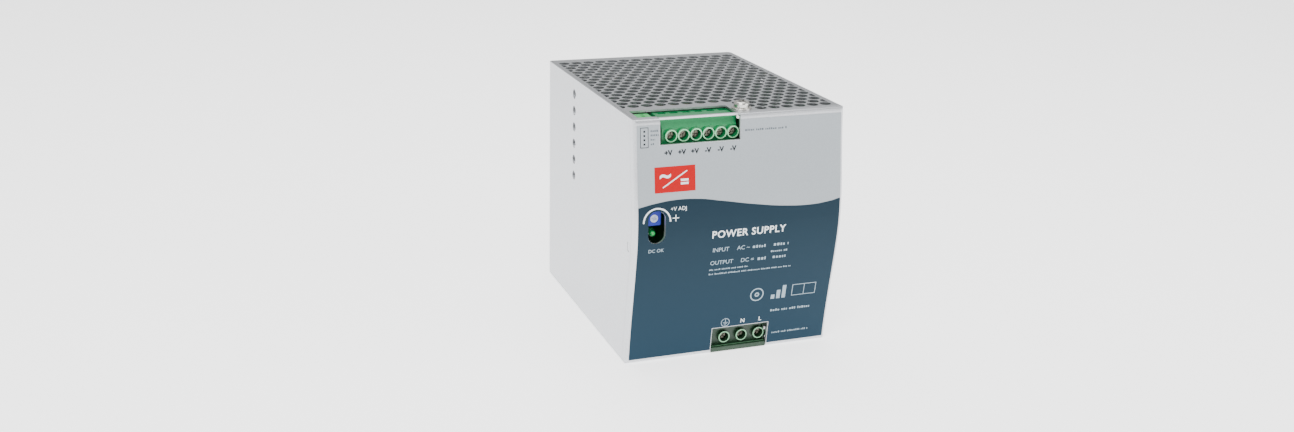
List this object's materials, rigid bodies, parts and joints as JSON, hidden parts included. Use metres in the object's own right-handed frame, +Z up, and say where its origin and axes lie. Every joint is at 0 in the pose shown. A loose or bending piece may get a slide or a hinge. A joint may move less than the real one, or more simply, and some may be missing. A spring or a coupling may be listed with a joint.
{
  "type": "din rail power supply",
  "caption": "Box-shaped DIN rail power supply in perforated sheet metal with an S-curved front, screw terminals top and bottom, and a spring-loaded rail clip behind.",
  "frame": {"origin": "under the middle of the bounding box, on the plane of the case's flat bottom", "axes": "+X to the right as seen from the front, +Y towards the rail at the rear, +Z up"},
  "size_m": [0.11, 0.15, 0.1289],
  "materials": {
    "case_metal": "satin, fine grain",
    "grille_metal": "satin, punched",
    "label_film": "printed film, grey above and slate blue below",
    "screw_metal": "bright nickel plate",
    "clip_metal": "zinc-plated sheet",
    "spring_metal": "drawn wire",
    "green_plastic": "moulded",
    "dark_green_plastic": "moulded",
    "light_green_plastic": "moulded",
    "clamp_metal": "tin-plated brass",
    "blue_plastic": "moulded",
    "white_plastic": "moulded",
    "lamp_lens": "tinted clear epoxy",
    "board_laminate": "solder mask over glass laminate",
    "sheet_plastic": "translucent film",
    "sink_metal": "extruded, bright",
    "black_epoxy": "moulded epoxy",
    "ferrite": "sintered",
    "winding_tape": "polyester tape",
    "can_sleeve": "shrunk sleeve",
    "film_box": "moulded box"
  },
  "bodies": {
    "case": {"chassis": "case_metal", "front_panel": "case_metal", "front_label": "label_film", "top_grille": "grille_metal", "bottom_grille": "grille_metal", "case_screws": "screw_metal", "earth_screw": "screw_metal", "earth_washer": "screw_metal", "earth_nut": "screw_metal", "clip_bracket": "clip_metal", "clip_rivets": "sink_metal", "clip_spring": "spring_metal", "output_terminal": "green_plastic", "output_contacts": "clamp_metal", "input_terminal": "dark_green_plastic", "input_contacts": "clamp_metal", "signal_header": "light_green_plastic", "header_pins": "clamp_metal", "trimmer_body": "blue_plastic", "status_lamp": "lamp_lens", "control_board": "board_laminate", "front_board": "board_laminate", "main_board": "board_laminate", "insulating_sheet": "sheet_plastic", "board_standoffs": "clamp_metal", "board_screws": "screw_metal", "heat_sinks": "sink_metal", "power_transistors": "black_epoxy", "transformer_core": "ferrite", "transformer_winding": "winding_tape", "chokes": "ferrite", "bulk_capacitors": "can_sleeve", "output_capacitors": "can_sleeve", "film_capacitors": "film_box"},
    "output_screw_1": {"output_screw_1": "screw_metal"},
    "output_clamp_1": {"output_clamp_1": "clamp_metal"},
    "output_screw_2": {"output_screw_2": "screw_metal"},
    "output_clamp_2": {"output_clamp_2": "clamp_metal"},
    "output_screw_3": {"output_screw_3": "screw_metal"},
    "output_clamp_3": {"output_clamp_3": "clamp_metal"},
    "output_screw_4": {"output_screw_4": "screw_metal"},
    "output_clamp_4": {"output_clamp_4": "clamp_metal"},
    "output_screw_5": {"output_screw_5": "screw_metal"},
    "output_clamp_5": {"output_clamp_5": "clamp_metal"},
    "output_screw_6": {"output_screw_6": "screw_metal"},
    "output_clamp_6": {"output_clamp_6": "clamp_metal"},
    "input_screw_1": {"input_screw_1": "screw_metal"},
    "input_clamp_1": {"input_clamp_1": "clamp_metal"},
    "input_screw_2": {"input_screw_2": "screw_metal"},
    "input_clamp_2": {"input_clamp_2": "clamp_metal"},
    "input_screw_3": {"input_screw_3": "screw_metal"},
    "input_clamp_3": {"input_clamp_3": "clamp_metal"},
    "signal_plug": {"signal_plug": "light_green_plastic", "signal_contacts": "clamp_metal"},
    "signal_screw_1": {"signal_screw_1": "screw_metal"},
    "signal_screw_2": {"signal_screw_2": "screw_metal"},
    "signal_screw_3": {"signal_screw_3": "screw_metal"},
    "signal_screw_4": {"signal_screw_4": "screw_metal"},
    "trimmer_rotor": {"trimmer_rotor": "white_plastic"},
    "clip_slider": {"clip_slider": "clip_metal"}
  },
  "joints": [
    {"name": "output_screw_1_turn", "type": "hinge", "parent": "case", "child": "output_screw_1", "pos_m": [-0.03508, -0.0648, 0.116], "axis": [0, 1, 0], "range_deg": [0, 2017]},
    {"name": "output_clamp_1_rise", "type": "slide", "parent": "case", "child": "output_clamp_1", "axis": [0, -1, 0], "range_m": [0, 0.0028]},
    {"name": "output_screw_2_turn", "type": "hinge", "parent": "case", "child": "output_screw_2", "pos_m": [-0.02873, -0.0648, 0.116], "axis": [0, 1, 0], "range_deg": [0, 2017]},
    {"name": "output_clamp_2_rise", "type": "slide", "parent": "case", "child": "output_clamp_2", "axis": [0, -1, 0], "range_m": [0, 0.0028]},
    {"name": "output_screw_3_turn", "type": "hinge", "parent": "case", "child": "output_screw_3", "pos_m": [-0.02237, -0.0648, 0.116], "axis": [0, 1, 0], "range_deg": [0, 2017]},
    {"name": "output_clamp_3_rise", "type": "slide", "parent": "case", "child": "output_clamp_3", "axis": [0, -1, 0], "range_m": [0, 0.0028]},
    {"name": "output_screw_4_turn", "type": "hinge", "parent": "case", "child": "output_screw_4", "pos_m": [-0.01603, -0.0648, 0.116], "axis": [0, 1, 0], "range_deg": [0, 2017]},
    {"name": "output_clamp_4_rise", "type": "slide", "parent": "case", "child": "output_clamp_4", "axis": [0, -1, 0], "range_m": [0, 0.0028]},
    {"name": "output_screw_5_turn", "type": "hinge", "parent": "case", "child": "output_screw_5", "pos_m": [-0.00967, -0.0648, 0.116], "axis": [0, 1, 0], "range_deg": [0, 2017]},
    {"name": "output_clamp_5_rise", "type": "slide", "parent": "case", "child": "output_clamp_5", "axis": [0, -1, 0], "range_m": [0, 0.0028]},
    {"name": "output_screw_6_turn", "type": "hinge", "parent": "case", "child": "output_screw_6", "pos_m": [-0.00332, -0.0648, 0.116], "axis": [0, 1, 0], "range_deg": [0, 2017]},
    {"name": "output_clamp_6_rise", "type": "slide", "parent": "case", "child": "output_clamp_6", "axis": [0, -1, 0], "range_m": [0, 0.0028]},
    {"name": "input_screw_1_turn", "type": "hinge", "parent": "case", "child": "input_screw_1", "pos_m": [-0.00132, -0.0611, 0.0073], "axis": [0, 1, 0], "range_deg": [0, 2017]},
    {"name": "input_clamp_1_rise", "type": "slide", "parent": "case", "child": "input_clamp_1", "axis": [0, -1, 0], "range_m": [0, 0.0028]},
    {"name": "input_screw_2_turn", "type": "hinge", "parent": "case", "child": "input_screw_2", "pos_m": [0.0082, -0.0611, 0.0073], "axis": [0, 1, 0], "range_deg": [0, 2017]},
    {"name": "input_clamp_2_rise", "type": "slide", "parent": "case", "child": "input_clamp_2", "axis": [0, -1, 0], "range_m": [0, 0.0028]},
    {"name": "input_screw_3_turn", "type": "hinge", "parent": "case", "child": "input_screw_3", "pos_m": [0.01772, -0.0611, 0.0073], "axis": [0, 1, 0], "range_deg": [0, 2017]},
    {"name": "input_clamp_3_rise", "type": "slide", "parent": "case", "child": "input_clamp_3", "axis": [0, -1, 0], "range_m": [0, 0.0028]},
    {"name": "signal_plug_pull", "type": "slide", "parent": "case", "child": "signal_plug", "axis": [0, 0, 1], "range_m": [0, 0.018]},
    {"name": "signal_screw_1_turn", "type": "hinge", "parent": "signal_plug", "child": "signal_screw_1", "pos_m": [-0.049, -0.06201, 0.1192], "axis": [1, 0, 0], "range_deg": [-720, 0]},
    {"name": "signal_screw_2_turn", "type": "hinge", "parent": "signal_plug", "child": "signal_screw_2", "pos_m": [-0.049, -0.05947, 0.1192], "axis": [1, 0, 0], "range_deg": [-720, 0]},
    {"name": "signal_screw_3_turn", "type": "hinge", "parent": "signal_plug", "child": "signal_screw_3", "pos_m": [-0.049, -0.05693, 0.1192], "axis": [1, 0, 0], "range_deg": [-720, 0]},
    {"name": "signal_screw_4_turn", "type": "hinge", "parent": "signal_plug", "child": "signal_screw_4", "pos_m": [-0.049, -0.05439, 0.1192], "axis": [1, 0, 0], "range_deg": [-720, 0]},
    {"name": "trimmer_turn", "type": "hinge", "parent": "case", "child": "trimmer_rotor", "pos_m": [-0.0439, -0.0709, 0.0769], "axis": [0, 1, 0], "range_deg": [-135, 135]},
    {"name": "clip_slide", "type": "slide", "parent": "case", "child": "clip_slider", "axis": [0, 0, -1], "range_m": [0, 0.005], "stiffness_N_per_m": 1200, "springref_m": -0.004, "deforming": ["clip_spring"]}
  ],
  "couplings": [
    {"joint": "output_screw_1_turn", "follows": "output_clamp_1_rise", "rad_per_m": 12566},
    {"joint": "output_screw_2_turn", "follows": "output_clamp_2_rise", "rad_per_m": 12566},
    {"joint": "output_screw_3_turn", "follows": "output_clamp_3_rise", "rad_per_m": 12566},
    {"joint": "output_screw_4_turn", "follows": "output_clamp_4_rise", "rad_per_m": 12566},
    {"joint": "output_screw_5_turn", "follows": "output_clamp_5_rise", "rad_per_m": 12566},
    {"joint": "output_screw_6_turn", "follows": "output_clamp_6_rise", "rad_per_m": 12566},
    {"joint": "input_screw_1_turn", "follows": "input_clamp_1_rise", "rad_per_m": 12566},
    {"joint": "input_screw_2_turn", "follows": "input_clamp_2_rise", "rad_per_m": 12566},
    {"joint": "input_screw_3_turn", "follows": "input_clamp_3_rise", "rad_per_m": 12566}
  ]
}
